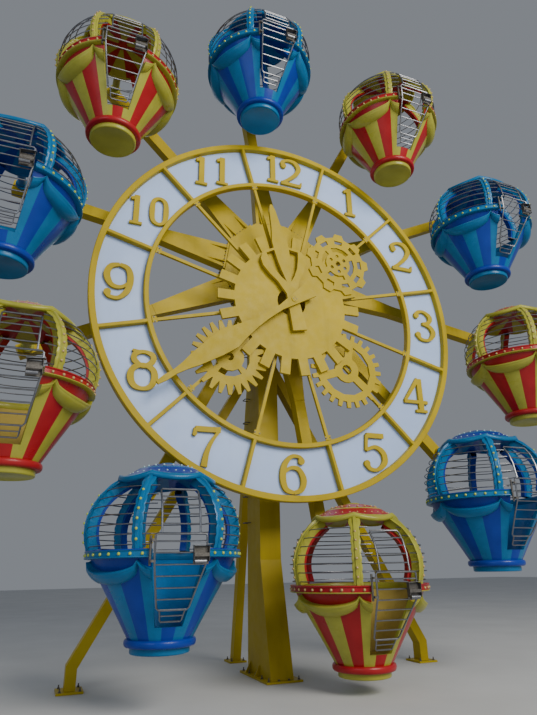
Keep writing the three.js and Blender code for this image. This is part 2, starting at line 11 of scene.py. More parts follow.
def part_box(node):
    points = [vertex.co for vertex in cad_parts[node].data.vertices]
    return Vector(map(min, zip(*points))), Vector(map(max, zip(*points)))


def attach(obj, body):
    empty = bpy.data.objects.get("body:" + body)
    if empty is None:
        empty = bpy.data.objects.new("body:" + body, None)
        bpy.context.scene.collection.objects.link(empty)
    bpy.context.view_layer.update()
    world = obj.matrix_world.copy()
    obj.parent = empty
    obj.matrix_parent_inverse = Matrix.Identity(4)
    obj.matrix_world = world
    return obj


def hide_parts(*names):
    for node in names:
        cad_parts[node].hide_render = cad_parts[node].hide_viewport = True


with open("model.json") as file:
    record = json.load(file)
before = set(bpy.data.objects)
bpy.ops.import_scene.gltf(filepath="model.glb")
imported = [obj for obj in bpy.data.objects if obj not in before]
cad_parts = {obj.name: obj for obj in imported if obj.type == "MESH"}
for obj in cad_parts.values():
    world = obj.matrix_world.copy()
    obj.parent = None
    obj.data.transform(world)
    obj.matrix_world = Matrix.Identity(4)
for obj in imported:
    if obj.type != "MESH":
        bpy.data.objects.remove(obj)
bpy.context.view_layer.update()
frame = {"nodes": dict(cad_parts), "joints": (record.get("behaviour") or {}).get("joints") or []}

bl_info = {
    "name": "Clock wheel finishes",
    "version": (1, 0, 0),
    "blender": (4, 5, 0),
    "location": "3D View > Sidebar > Clock wheel",
    "description": "Dresses the packed fairground wheel with its finishes, beads, bars and bolts",
    "category": "Object",
}

# The frame gives the places that everything else is set from

CABINS = [name[-2:] for name in sorted(frame["nodes"]) if name.startswith("tub_")]
JOINTS = {joint["name"]: Vector(joint["pos_m"]) for joint in frame["joints"]}
AXLE_HEIGHT = JOINTS["wheel_spin"].z
CLOCK_HEIGHT = JOINTS["hour_hand_turn"].z
RAIL_RADIUS = 1.010


def pivot_of(cabin):
    """The point that a cabin hangs from, above the middle of its floor."""
    joint = JOINTS[f"cabin_{cabin}_level"]
    return Vector((joint.x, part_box("tub_" + cabin)[1].y - RAIL_RADIUS, joint.z))


def arm_turn(cabin):
    """Turns a shape that points up from the axle onto the arm of a cabin."""
    joint = JOINTS[f"cabin_{cabin}_level"]
    angle = math.atan2(joint.x, joint.z - AXLE_HEIGHT)
    return Matrix.Translation((0, 0, AXLE_HEIGHT)) @ Matrix.Rotation(angle, 4, "Y")


class PaintColours(bpy.types.PropertyGroup):
    """Colours of the wheel's paints and mouldings."""

    def tint(name, text, value):
        return bpy.props.FloatVectorProperty(
            name=name, description=text, subtype="COLOR", size=3, min=0, max=1, default=value)

    steel: tint("Steel paint", "Yellow paint on the tower, arms, gears and rims", (0.45, 0.335, 0.016))
    # The dial's colour is pale enamel with a blue tint that is painted reflection of the sky.
    dial: tint("Dial", "Pale enamel of the dial", (0.38, 0.52, 0.84))
    red: tint("Red moulding", "Red of the warm cabins", (0.33, 0.009, 0.013))
    lemon: tint("Lemon moulding", "Yellow of the warm cabins", (0.345, 0.340, 0.042))
    navy: tint("Deep blue moulding", "Deep blue of the cool cabins", (0.001, 0.034, 0.30))
    cyan: tint("Cyan moulding", "Light blue of the cool cabins", (0.002, 0.138, 0.330))
    # The stainless grey is darkened below bright steel as painted shade: it stands in for the dark ground
    # that the bars reflect.
    stainless: tint("Stainless steel", "Bars, gates and latches", (0.26, 0.27, 0.30))


class CabinSizes(bpy.types.PropertyGroup):
    """Sizes of a cabin's fine parts."""

    def length(name, text, value):
        return bpy.props.FloatProperty(name=name, description=text, unit="LENGTH", min=0.001, default=value)

    bead: length("Bead radius", "Radius of the light beads", 0.021)
    bar: length("Bar radius", "Radius of the window bars", 0.008)
    gate_bar: length("Gate tube radius", "Radius of the gate's tubes", 0.013)
    bar_levels: bpy.props.IntProperty(
        name="Bar levels", description="Rings of window bars round a cabin", min=1, max=12, default=7)


# Making shapes

RIM_FACETS = 180
WELD = 1e-5


def evenly(start, end, steps):
    return [start + (end - start) * i / steps for i in range(steps + 1)]


def circle(count):
    """Equal turns round a circle, in radians."""
    return [math.tau * i / count for i in range(count)]


def neighbours(line, i, closed):
    """The points before and after one on a line; at an open end the point itself stands in."""
    before = line[i - 1] if closed or i else line[i]
    after = line[(i + 1) % len(line)] if closed or i < len(line) - 1 else line[i]
    return before, after


class Form:
    """Points and faces of a piece while it is being made, with a finish number for each face."""

    def __init__(self):
        self.points = []
        self.faces = []
        self.finishes = []

    def add(self, points, faces, finish=0):
        start = len(self.points)
        self.points.extend(tuple(p) for p in points)
        self.join(faces, finish, start)

    def join(self, faces, finish, start=0):
        """Faces between points that are there already, counted from start."""
        self.faces.extend(tuple(start + i for i in face) for face in faces)
        self.finishes.extend([finish] * len(faces))

    def grid(self, rows, finish=0, closed=False, keep=None):
        """Four-sided faces through rows of points; finish may be worked out from row and column."""
        start = len(self.points)
        width = len(rows[0])
        for row in rows:
            self.points.extend(tuple(p) for p in row)
        for i in range(len(rows) - 1):
            for j in range(width if closed else width - 1):
                if keep and not keep(i, j):
                    continue
                k = (j + 1) % width
                a, b = i * width, (i + 1) * width
                self.join([(a + j, a + k, b + k, b + j)], finish(i, j) if callable(finish) else finish, start)

    def tube(self, path, radius, sides=6, finish=0, closed=False):
        """A round bar along a path, with flat ends unless it closes on itself."""
        path = [Vector(p) for p in path]
        rings = []
        side = None
        for i, point in enumerate(path):
            before, after = neighbours(path, i, closed)
            along = (after - before).normalized()
            if side is None:
                side = along.orthogonal().normalized()
            side = (side - along * side.dot(along)).normalized()
            other = along.cross(side)
            rings.append([point + (side * math.cos(t) + other * math.sin(t)) * radius for t in circle(sides)])
        if closed:
            rings.append(rings[0])
        start = len(self.points)
        self.grid(rings, finish, closed=True)
        if not closed:
            last = (len(path) - 1) * sides
            self.join([range(sides), range(last + sides - 1, last - 1, -1)], finish, start)

    def ball(self, centre, radius, finish=0, rings=4, sides=8):
        """A bead."""
        centre = Vector(centre)
        rows = []
        for lift in (math.pi * i / rings for i in range(1, rings)):
            ring = [(math.sin(lift) * math.cos(t), math.sin(lift) * math.sin(t), math.cos(lift))
                    for t in circle(sides)]
            rows.append([centre + radius * Vector(p) for p in ring])
        start = len(self.points)
        self.grid(rows, finish, closed=True)
        top = len(self.points) - start
        last = top - sides
        self.points.extend(tuple(centre + Vector((0, 0, rise))) for rise in (radius, -radius))
        for s in range(sides):
            t = (s + 1) % sides
            self.join([(t, s, top), (last + s, last + t, top + 1)], finish, start)

    def block(self, low, high, finish=0, turn=None):
        (x0, y0, z0), (x1, y1, z1) = low, high
        points = [Vector((x, y, z)) for z in (z0, z1) for y in (y0, y1) for x in (x0, x1)]
        faces = [(0, 2, 3, 1), (4, 5, 7, 6), (0, 1, 5, 4), (2, 6, 7, 3), (0, 4, 6, 2), (1, 3, 7, 5)]
        self.add([turn @ p for p in points] if turn else points, faces, finish)

    def bolt(self, at, axis, radius, finish=0):
        """A washer and a hexagon head whose axis points away from the plate."""
        at, axis = Vector(at), Vector(axis).normalized()
        self.tube([at, at + axis * radius * 0.3], radius * 1.45, 12, finish)
        self.tube([at, at + axis * radius * 1.25], radius, 6, finish)

    def rim(self, inner, outer, front, depth, corner):
        """A ring that stands on edge, with small rounded corners."""
        back = front + depth
        section = [(inner, front + corner), (inner + corner, front), (outer - corner, front),
                   (outer, front + corner), (outer, back - corner), (outer - corner, back),
                   (inner + corner, back), (inner, back - corner), (inner, front + corner)]
        self.grid([[(radius * math.sin(t), y, radius * math.cos(t)) for t in circle(RIM_FACETS)]
                   for radius, y in section], closed=True)

    def prism(self, outline, front, back, holes=(), finish=0, at=(0, 0)):
        """A flat shape in the XZ plane, made thick from front to back."""
        loops = [[(x + at[0], z + at[1]) for x, z in loop] for loop in (outline, *holes)]
        flat = [p for loop in loops for p in loop]
        count = len(flat)
        front_faces = tessellate_polygon([[Vector((x, z, 0)) for x, z in loop] for loop in loops])
        faces = [*front_faces, *([count + i for i in reversed(face)] for face in front_faces)]
        first = 0
        for loop in loops:
            ring = range(first, first + len(loop))
            faces += [(a, b, b + count, a + count) for a, b in zip(ring, (*ring[1:], first))]
            first += len(loop)
        self.add([(x, y, z) for y in (front, back) for x, z in flat], faces, finish)


def ring_point(radius, degrees, height):
    """A point on a level ring round a cabin; 0 degrees faces the door and 90 is on the right."""
    a = math.radians(degrees)
    return Vector((radius * math.sin(a), -radius * math.cos(a), height))


def smooth_line(points, closed, steps=6):
    """A smooth curve through rows of (x, z, half width), joined from its end to its start if closed."""
    count = len(points)
    line = []
    for i in range(count if closed else count - 1):
        near = [k % count if closed else max(0, min(count - 1, k)) for k in (i - 1, i, i + 1, i + 2)]
        a, b, c, d = (Vector(points[k]) for k in near)
        for t in (s / steps for s in range(steps)):
            square = (2 * a - 5 * b + 4 * c - d) * t * t
            cube = (3 * b - a - 3 * c + d) * t ** 3
            line.append((2 * b + (c - a) * t + square + cube) / 2)
    return line if closed else [*line, Vector(points[-1])]


def stroke_sides(points, closed):
    """The two edges of a stroke whose width changes along it."""
    line = smooth_line(points, closed) if len(points) > 2 else [Vector(p) for p in points]
    left, right = [], []
    for i, (x, z, half) in enumerate(line):
        before, after = neighbours(line, i, closed)
        along = Vector((after.x - before.x, after.y - before.y)).normalized()
        left.append((x - along.y * half, z + along.x * half))
        right.append((x + along.y * half, z - along.x * half))
    return left, right


def between(table, value):
    """Straight-line value from a table of (place, value) rows in rising order of place."""
    if value <= table[0][0]:
        return table[0][1]
    for (a, u), (b, v) in zip(table, table[1:]):
        if value <= b:
            return u + (v - u) * (value - a) / (b - a)
    return table[-1][1]


def mesh_of(name, form, coats, crease=35):
    """A mesh from a form, with its faces turned outward and its soft edges smooth."""
    mesh = bpy.data.meshes.new(name)
    mesh.from_pydata(form.points, [], form.faces)
    for finish in coats:
        mesh.materials.append(finishes[finish])
    mesh.polygons.foreach_set("material_index", form.finishes)
    shape = bmesh.new()
    shape.from_mesh(mesh)
    bmesh.ops.remove_doubles(shape, verts=shape.verts, dist=WELD)
    bmesh.ops.recalc_face_normals(shape, faces=shape.faces)
    shape.to_mesh(mesh)
    shape.free()
    mesh.polygons.foreach_set("use_smooth", [True] * len(mesh.polygons))
    mesh.set_sharp_from_angle(angle=math.radians(crease))
    return mesh


def place(name, mesh, body, at=(0, 0, 0), bevel=0.0):
    """Puts a mesh in the scene as a named piece that rides on a body."""
    piece = bpy.data.objects.new(name, mesh)
    bpy.context.scene.collection.objects.link(piece)
    piece.location = at
    if bevel:
        soften = piece.modifiers.new("Soft edges", "BEVEL")
        soften.width = bevel
        soften.segments = 2
        soften.limit_method = "ANGLE"
        soften.angle_limit = math.radians(40)
    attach(piece, body)
    return piece


def fit(name, form, coats, body, at=(0, 0, 0), bevel=0.0):
    """Makes a form's mesh and puts it in the scene."""
    return place(name, mesh_of(name, form, coats), body, at, bevel)


# Finishes


finishes = {}


class Nodes:
    """A material while it is being made, from noise laid on the object's own axes."""

    def __init__(self, name):
        self.material = bpy.data.materials.new(name)
        self.material.use_nodes = True
        self.tree = self.material.node_tree
        self.shader = self.tree.nodes["Principled BSDF"]
        self.spot = self.tree.nodes.new("ShaderNodeTexCoord").outputs["Object"]

    def feed(self, socket, value):
        """Sets a socket to a number or colour, or links another node's output to it."""
        if isinstance(value, bpy.types.NodeSocket):
            self.tree.links.new(value, socket)
        else:
            socket.default_value = (*value, 1) if socket.type == "RGBA" else value

    def node(self, kind, **inputs):
        made = self.tree.nodes.new("ShaderNode" + kind)
        for key, value in inputs.items():
            self.feed(made.inputs[key.replace("_", " ")], value)
        return made

    def shade(self, **inputs):
        """Sets the shader's own sockets and hands over the material."""
        for key, value in inputs.items():
            self.feed(self.shader.inputs[key.replace("_", " ")], value)
        return self.material

    def noise(self, scale, detail=4.0, roughness=0.55, stretch=(1, 1, 1)):
        mapping = self.node("Mapping", Scale=stretch, Vector=self.spot)
        made = self.node("TexNoise", Scale=scale, Detail=detail, Roughness=roughness,
                         Vector=mapping.outputs["Vector"])
        return made.outputs["Fac"]

    def spread(self, source, low, high, out_low=0.0, out_high=1.0):
        return self.node("MapRange", From_Min=low, From_Max=high, To_Min=out_low, To_Max=out_high,
                         Value=source).outputs["Result"]

    def vary(self, scale, detail, low=0.0, high=1.0):
        """A value that wanders from low to high over the surface."""
        return self.spread(self.noise(scale, detail), 0.3, 0.7, low, high)

    def mix(self, factor, first, second):
        """One colour going over into another; sockets 0, 6 and 7 are the node's for colours."""
        made = self.tree.nodes.new("ShaderNodeMix")
        made.data_type = "RGBA"
        for socket, value in ((0, factor), (6, first), (7, second)):
            self.feed(made.inputs[socket], value)
        return made.outputs[2]

    def bump(self, height, strength, distance):
        return self.node("Bump", Strength=strength, Distance=distance, Height=height).outputs["Normal"]


def toned(colour, share, lift=0.0):
    return tuple(min(1, c * share + lift) for c in colour)


def painted_steel(name, colour):
    """Sprayed enamel on steel plate: faint orange peel, uneven fading, rain streaks and flecks of grime."""
    n = Nodes(name)
    base = n.mix(n.vary(0.9, 3), toned(colour, 0.86), toned(colour, 1.08))
    streaks = n.spread(n.noise(5.0, 5, 0.6, (1.0, 1.0, 0.12)), 0.52, 0.78, 0, 0.32)
    grime = n.mix(streaks, base, toned(colour, 0.5))
    flecks = n.spread(n.noise(38, 3, 0.5), 0.66, 0.74, 0, 0.35)
    return n.shade(Base_Color=n.mix(flecks, grime, toned(colour, 0.62)), Roughness=n.vary(7, 4, 0.34, 0.52),
                   Specular_IOR_Level=0.13, Normal=n.bump(n.noise(160, 2), 0.12, 0.002))


def gelcoat(name, colour):
    """Glossy moulded glass fibre: slightly wavy and cloudy, with faint rain marks."""
    n = Nodes(name)
    cloud = n.spread(n.noise(2.2, 4), 0.32, 0.68)
    base = n.mix(cloud, toned(colour, 0.84), toned(colour, 1.1, 0.004))
    runs = n.spread(n.noise(11, 4, 0.6, (1, 1, 0.1)), 0.55, 0.8, 0, 0.25)
    return n.shade(Base_Color=n.mix(runs, base, toned(colour, 0.6)), Roughness=n.vary(5, 3, 0.26, 0.40),
                   Specular_IOR_Level=0.27, Coat_Weight=0.06, Coat_Roughness=0.10,
                   Normal=n.bump(n.noise(9, 2), 0.10, 0.008))


def enamel(name, colour):
    """Pale satin enamel of the dial, with faint panels of tone and rain marks. The blue tint in the dial's
    given colour is painted reflection of the sky.
    """
    n = Nodes(name)
    base = n.mix(n.vary(0.8, 3), toned(colour, 0.93), toned(colour, 1.05))
    runs = n.spread(n.noise(9, 5, 0.6, (1, 1, 0.08)), 0.55, 0.8, 0, 0.22)
    return n.shade(Base_Color=n.mix(runs, base, toned(colour, 0.72)), Roughness=n.vary(4, 3, 0.36, 0.5),
                   Normal=n.bump(n.noise(3, 2), 0.08, 0.02))


def stainless_steel(name, colour):
    """Bright drawn steel with a fine grain and dull patches. Its given colour is kept dark as painted shade,
    standing in for the dark ground that the bars and gates reflect.
    """
    n = Nodes(name)
    dull = n.spread(n.noise(24, 4), 0.35, 0.7)
    return n.shade(Base_Color=n.mix(dull, toned(colour, 0.82), colour), Roughness=n.vary(60, 3, 0.30, 0.45),
                   Metallic=1, Normal=n.bump(n.noise(420, 2, 0.5, (1, 1, 6)), 0.08, 0.0005))


def bead_plastic(name, colour):
    """Glossy plastic cap of a small light."""
    n = Nodes(name)
    return n.shade(Base_Color=n.mix(n.vary(30, 2), toned(colour, 0.9), colour),
                   Roughness=n.vary(60, 2, 0.2, 0.34), Coat_Weight=0.4)


def dark_steel(name, colour):
    """Blackened steel of the bolts and step irons."""
    n = Nodes(name)
    tone = n.spread(n.noise(40, 4), 0.35, 0.7)
    return n.shade(Base_Color=n.mix(tone, toned(colour, 0.6), colour), Roughness=n.vary(50, 3, 0.4, 0.6),
                   Metallic=0.7, Normal=n.bump(n.noise(200, 2), 0.1, 0.001))


def concrete(name, colour):
    """Plain pale floor of the studio."""
    n = Nodes(name)
    return n.shade(Base_Color=n.mix(n.vary(0.5, 3), colour, toned(colour, 1, 0.06)), Roughness=0.8)


def make_finishes():
    """Each finish by its material's name: how it is made and its colour."""
    paints = bpy.context.scene.wheel_paints
    recipes = {
        "yellow_paint": (painted_steel, paints.steel),
        # The dial's blue tint is painted sky reflection over its pale enamel.
        "dial_paint": (enamel, paints.dial),
        "red_shell": (gelcoat, paints.red),
        "yellow_shell": (gelcoat, paints.lemon),
        "blue_shell": (gelcoat, paints.navy),
        "teal_shell": (gelcoat, paints.cyan),
        # The stainless colour carries painted shade for the dark ground that its bars reflect.
        "stainless": (stainless_steel, paints.stainless),
        "warm_lining": (gelcoat, (0.42, 0.32, 0.080)),
        "cool_lining": (gelcoat, (0.002, 0.155, 0.420)),
        "warm_bead": (bead_plastic, (0.46, 0.32, 0.13)),
        "cool_bead": (bead_plastic, (0.42, 0.52, 0.06)),
        "pale_bead": (bead_plastic, (0.38, 0.55, 0.60)),
        "bolt_steel": (dark_steel, (0.16, 0.15, 0.14)),
        "stage_floor": (concrete, (0.50, 0.51, 0.52)),
    }
    for name, (make, colour) in recipes.items():
        finishes[name] = make(name, tuple(colour))


def coat(node, finish):
    """Gives a CAD node its finish."""
    piece = frame["nodes"][node]
    if not piece.material_slots:
        raise RuntimeError(node + " has no material slot")
    for slot in piece.material_slots:
        slot.material = finishes[finish]


# The tower's fittings


PLATE_TOP = 0.030
LEG_PLATE = 0.370
BRACE_PLATE = 0.380
FOOT_BOLT_INSET = 0.050
FOOT_BOLT_HEAD = 0.017
FOOT_BOLT_THREAD = 0.052
FRONT_BOLT_SIDE = 0.083
IRON_FACE = -0.190
IRON_START = 2.420
IRON_PITCH = 0.465
IRON_REACH = 0.100
IRON_BEND = 0.015
IRON_SIDES = (0.150, 0.300)


def foot_bolts():
    """Anchor bolts along two sides of each base plate, and two more at the front of the column's."""
    form = Form()
    column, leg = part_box("main_column"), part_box("rear_leg")
    plates = [(column[0].x, column[1].x, column[0].y, column[1].y, 5),
              (leg[0].x, leg[1].x, leg[1].y - LEG_PLATE, leg[1].y, 2)]
    for node, side in (("left_brace", -1), ("right_brace", 1)):
        low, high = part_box(node)
        outer = max(abs(low.x), abs(high.x))
        left, right = sorted((side * (outer - BRACE_PLATE), side * outer))
        plates.append((left, right, low.y, high.y, 2))
    for left, right, front, back, rows in plates:
        for x in (left + FOOT_BOLT_INSET, right - FOOT_BOLT_INSET):
            for y in evenly(front + FOOT_BOLT_INSET, back - FOOT_BOLT_INSET, rows - 1):
                form.tube([(x, y, PLATE_TOP), (x, y, PLATE_TOP + FOOT_BOLT_THREAD)], FOOT_BOLT_HEAD * 0.55, 8)
                form.bolt((x, y, PLATE_TOP), (0, 0, 1), FOOT_BOLT_HEAD)
    for x in (-FRONT_BOLT_SIDE, FRONT_BOLT_SIDE):
        form.bolt((x, column[0].y + FOOT_BOLT_INSET, PLATE_TOP), (0, 0, 1), FOOT_BOLT_HEAD)
    return form


def step_irons():
    """U-shaped rungs up the left side of the column."""
    form = Form()
    front, back = IRON_SIDES
    tip = IRON_FACE - IRON_REACH
    for z in (IRON_START + IRON_PITCH * k for k in range(10)):
        form.tube([(IRON_FACE, front, z), (tip + IRON_BEND, front, z), (tip, front + IRON_BEND, z),
                   (tip, back - IRON_BEND, z), (tip + IRON_BEND, back, z), (IRON_FACE, back, z)], 0.009, 8)
    return form


# The clock, measured from its centre

CLOCK_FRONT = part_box("outer_rim")[0].y
RIM_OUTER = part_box("outer_rim")[1].x
RIM_DEPTH = 0.150
RIM_INNER = 3.370
INNER_RIM_OUTER = 2.600
INNER_RIM_INNER = 2.520
INNER_RIM_DEPTH = 0.130
DIAL_FRONT = CLOCK_FRONT + 0.110
DIAL_THICKNESS = 0.020
DIAL_LAP = 0.004
NUMERAL_RELIEF = 0.055
NUMERAL_PITCH = 0.400
RIM_CORNER = 0.010
LUG_HALF = 0.055
LUG_FROM, LUG_TO = 2.440, 2.518
LUG_BOLT_HEIGHT = 2.480
LUG_THICKNESS = 0.010
SPINDLE_CAP_RADIUS = 0.062
SPINDLE_CAP_HEIGHT = 0.012
SPINDLE_SCREW_CIRCLE = 0.030

# Strokes of each digit as rows of (x, z, half width) in millimetres; one row alone is a round ball end
DIGITS = {
    "0": [[(0, 302, 30), (115, 225, 44), (140, 0, 54), (115, -225, 44), (0, -302, 30), (-115, -225, 44),
           (-140, 0, 54), (-115, 225, 44)]],
    "1": [[(10, 330, 54), (10, -330, 54)], [(-108, 235, 30), (10, 290, 44)],
          [(-112, -304, 28), (132, -304, 28)]],
    "2": [[(-165, 160, 58), (-190, 235, 40), (-60, 306, 28), (95, 285, 46), (185, 150, 54), (120, -10, 46),
           (-60, -190, 36), (-200, -290, 30)], [(-230, -298, 36), (230, -298, 36)],
          [(212, -290, 30), (234, -200, 14)], [(-165, 150, 62)]],
    "3": [[(-180, 215, 50), (-120, 290, 34), (20, 306, 28), (150, 200, 50), (100, 75, 40), (-50, 40, 26)],
          [(-50, 40, 26), (120, -10, 42), (190, -150, 54), (70, -300, 32), (-110, -304, 30),
           (-180, -215, 50)], [(-172, 205, 58)], [(-176, -210, 60)]],
    "4": [[(85, 325, 42), (-235, -112, 28)], [(-258, -132, 32), (258, -132, 32)],
          [(110, 330, 54), (110, -330, 54)], [(-15, -306, 26), (235, -306, 26)]],
    "5": [[(-150, 290, 44), (195, 290, 44)], [(-150, 300, 28), (-178, 20, 28)],
          [(-178, 25, 28), (10, 88, 34), (165, -10, 50), (180, -180, 52), (30, -305, 30), (-115, -300, 34),
           (-180, -215, 50)], [(-176, -210, 60)]],
    "6": [[(165, 240, 48), (115, 300, 30), (-30, 296, 34), (-160, 140, 50), (-190, -80, 54),
           (-135, -250, 44), (0, -304, 30)],
          [(0, -304, 30), (140, -250, 44), (190, -90, 54), (110, 80, 40), (-40, 108, 30), (-165, 20, 26)],
          [(160, 225, 60)]],
    "7": [[(-205, 290, 46), (228, 290, 46)], [(-205, 300, 30), (-222, 195, 26)],
          [(212, 285, 24), (75, 90, 32), (-10, -110, 44), (-50, -330, 56)], [(-216, 205, 38)]],
    "8": [[(0, 84, 34), (150, 20, 46), (188, -120, 54), (130, -258, 44), (0, -304, 30), (-130, -258, 44),
           (-188, -120, 54), (-150, 20, 46)],
          [(0, 306, 28), (135, 260, 42), (140, 150, 46), (0, 66, 34), (-140, 150, 46), (-135, 260, 42)],
          [(-60, 296, 28), (-185, 318, 18)]],
}
DIGITS["9"] = [[(-x, -z, half) for x, z, half in stroke] for stroke in DIGITS["6"]]
RING_STROKES = {"0": 1, "8": 2}
STROKE_STEP = 0.0005

# Hour, place of the numeral on the dial, its size and the rise of its second digit
NUMERALS = [
    (1, 1.470, 2.640, 1, 0), (2, 2.610, 1.580, 1, 0), (3, 2.995, 0.055, 1, 0), (4, 2.580, -1.435, 1, 0),
    (5, 1.590, -2.570, 1, 0), (6, 0.005, -3.025, 0.97, 0), (7, -1.450, -2.655, 0.95, 0),
    (8, -2.515, -1.505, 1, 0), (9, -3.005, -0.015, 1, 0), (10, -2.615, 1.445, 0.88, 0.050),
    (11, -1.480, 2.615, 0.93, 0.100), (12, -0.035, 3.020, 0.95, 0),
]


def half_hours():
    """Turns about the clock's axis, one to each gap between two numerals."""
    return [Matrix.Rotation(math.radians(15 + 30 * i), 4, "Y") for i in range(12)]


def outer_rim():
    form = Form()
    form.rim(RIM_INNER, RIM_OUTER, CLOCK_FRONT, RIM_DEPTH, RIM_CORNER)
    return form


def inner_rim():
    """The inner rim with the twelve dividers that reach to the outer rim."""
    form = Form()
    form.rim(INNER_RIM_INNER, INNER_RIM_OUTER, CLOCK_FRONT, INNER_RIM_DEPTH, RIM_CORNER)
    front, back, half, corner = CLOCK_FRONT + 0.004, DIAL_FRONT, 0.030, 0.008
    section = [(-half, back), (-half, front + corner), (corner - half, front), (half - corner, front),
               (half, front + corner), (half, back)]
    for turn in half_hours():
        form.grid([[turn @ Vector((x, y, z)) for x, y in section]
                   for z in (INNER_RIM_OUTER - 0.01, RIM_INNER + 0.01)], closed=True)
    return form


def dial_plate():
    form = Form()
    form.rim(INNER_RIM_OUTER - DIAL_LAP, RIM_INNER + DIAL_LAP, DIAL_FRONT, DIAL_THICKNESS, 0.002)
    return form


def numerals():
    """Twelve box-sided numerals that stand off the dial."""
    form = Form()
    for hour, x, z, size, rise in NUMERALS:
        digits = str(hour)
        for i, digit in enumerate(digits):
            place_in_pair = i - (len(digits) - 1) / 2
            at = (x + place_in_pair * NUMERAL_PITCH, z + place_in_pair * rise)
            for k, stroke in enumerate(DIGITS[digit]):
                rows = [tuple(size * v / 1000 for v in row) for row in stroke]
                front = DIAL_FRONT - NUMERAL_RELIEF + STROKE_STEP * k
                closed = k < RING_STROKES.get(digit, 0)
                if len(rows) == 1:
                    (across, up, radius), holes = rows[0], []
                    outline = [(across + radius * math.sin(a), up + radius * math.cos(a)) for a in circle(24)]
                else:
                    left, right = stroke_sides(rows, closed)
                    outline, holes = (left, [right]) if closed else ([*left, *reversed(right)], [])
                form.prism(outline, front, DIAL_FRONT, holes, at=at)
    return form


def rod_ends():
    """A lug with two bolts where each rod meets the inner rim."""
    paint, steel = 0, 1
    form = Form()
    back = CLOCK_FRONT + 0.005
    front = back - LUG_THICKNESS
    for turn in half_hours():
        form.block((-LUG_HALF, front, LUG_FROM), (LUG_HALF, back, LUG_TO), paint, turn)
        for x in (-0.040, 0.040):
            form.bolt(turn @ Vector((x, front, LUG_BOLT_HEIGHT)), (0, -1, 0), 0.010, steel)
    return form


def spindle_cap():
    """A low cap with a cross of four screws on the front of the minute hand."""
    paint, steel = 0, 1
    form = Form()
    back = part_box("minute_hand")[0].y
    front = back - SPINDLE_CAP_HEIGHT
    form.tube([(0, back, 0), (0, front, 0)], SPINDLE_CAP_RADIUS, 28, paint)
    for a in circle(4):
        at = Vector((SPINDLE_SCREW_CIRCLE * math.sin(a), front, SPINDLE_SCREW_CIRCLE * math.cos(a)))
        form.tube([at, at + Vector((0, -0.006, 0))], 0.009, 8, steel)
    return form


# The arms, as if each pointed up from the axle

HUB_FLAT = 1.020
FLANGE_THICKNESS = 0.040
FLANGE_FRONT_ROW, FLANGE_BACK_ROW, FLANGE_SIDE = 0.270, 0.260, 0.272
FLANGE_SIDE_BOLTS = (-0.82, -0.75, -0.68)
FLANGE_LIP = 0.055
ARM_DEPTH = 0.190
ARM_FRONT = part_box("arm_01")[0].y + FLANGE_LIP
ARM_BACK = ARM_FRONT + ARM_DEPTH
ARM_TAPER_END = 2.600
ARM_HALF = 0.100
WELD_REACH = 0.0015
# Front, back and radius of the bearing's collar, flange and rear cap
BEARING = [(ARM_FRONT - 0.060, ARM_FRONT - 0.040, 0.082), (ARM_FRONT - 0.040, ARM_FRONT, 0.098),
           (ARM_BACK, ARM_BACK + 0.018, 0.085)]
BEARING_BOLT_CIRCLE = 0.066
PIVOT_RADIUS = (JOINTS["cabin_01_level"] - JOINTS["wheel_spin"]).xz.length


def flange_bolts():
    """Bolts round the flange at the root of each arm."""
    form = Form()
    top = HUB_FLAT + FLANGE_THICKNESS
    front, back = ARM_FRONT - 0.013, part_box("arm_01")[1].y - 0.045
    places = [(x, front) for x in evenly(-FLANGE_FRONT_ROW, FLANGE_FRONT_ROW, 6)]
    places += [(x, back) for x in evenly(-FLANGE_BACK_ROW, FLANGE_BACK_ROW, 5)]
    places += [(x, y) for x in (-FLANGE_SIDE, FLANGE_SIDE) for y in FLANGE_SIDE_BOLTS]
    for turn in map(arm_turn, CABINS):
        up = turn.to_3x3() @ Vector((0, 0, 1))
        for x, y in places:
            form.bolt(turn @ Vector((x, y, top)), up, 0.012)
    return form


def arm_fittings():
    """The weld bead where each arm's taper ends, and the bearing that carries the cabin's shaft."""
    paint, steel = 0, 1
    form = Form()
    side, front, back = ARM_HALF + WELD_REACH, ARM_FRONT - WELD_REACH, ARM_BACK + WELD_REACH
    for turn in map(arm_turn, CABINS):
        seam = [(-side, front), (side, front), (side, back), (-side, back)]
        form.tube([turn @ Vector((x, y, ARM_TAPER_END)) for x, y in seam], 0.006, 6, paint, closed=True)
        hub = turn @ Vector((0, 0, PIVOT_RADIUS))
        for start, end, radius in BEARING:
            form.tube([(hub.x, y, hub.z) for y in (start, end)], radius, 28, paint)
        cap = Vector((hub.x, BEARING[-1][1], hub.z))
        form.bolt(cap, (0, 1, 0), 0.030, steel)
        for a in circle(6):
            edge = Vector((BEARING_BOLT_CIRCLE * math.cos(a), 0, BEARING_BOLT_CIRCLE * math.sin(a)))
            form.bolt(cap + edge, (0, 1, 0), 0.009, steel)
    return form


# A cabin's shapes, measured from its pivot; angles are in degrees from the door

STEP = 2.5
ALL_ROUND = [STEP * i for i in range(int(360 / STEP))]
STRIPE = 20
BAY = 60
DOOR_HALF = 20
RIB_ANGLES = [30 + BAY * i for i in range(6)]
SHAFT_FRONT = 0.500
SHAFT_BACK = 1.1047
SHAFT_RADIUS = 0.068
COLLAR_ENDS = (SHAFT_BACK - 0.105, SHAFT_BACK - 0.070)
COLLAR_RADIUS = 0.100
RAIL_TOP = -0.960
RAIL_BOTTOM = -1.060
RAIL_MIDDLE = -1.012
SILL = -1.835
FLOOR = -1.900
WALL = 0.045
INSET = 0.002
RING_TOP = -1.985
RING_BOTTOM = -2.080
BOTTOM = -2.160
BAR_PITCH = 0.1165
LOWEST_BAR = -0.912
BAR_DEPTH = 0.036
LOWEST_BEAD = -0.854
BEADS_PER_BAY = 7
BEADS_PER_RIB = 6
# Rings of beads on the dome: how many, the ring's radius and height, and their size against the others
DOME_BEADS = ((18, 0.340, 0.119, 0.8), (30, 0.520, 0.016, 0.7))
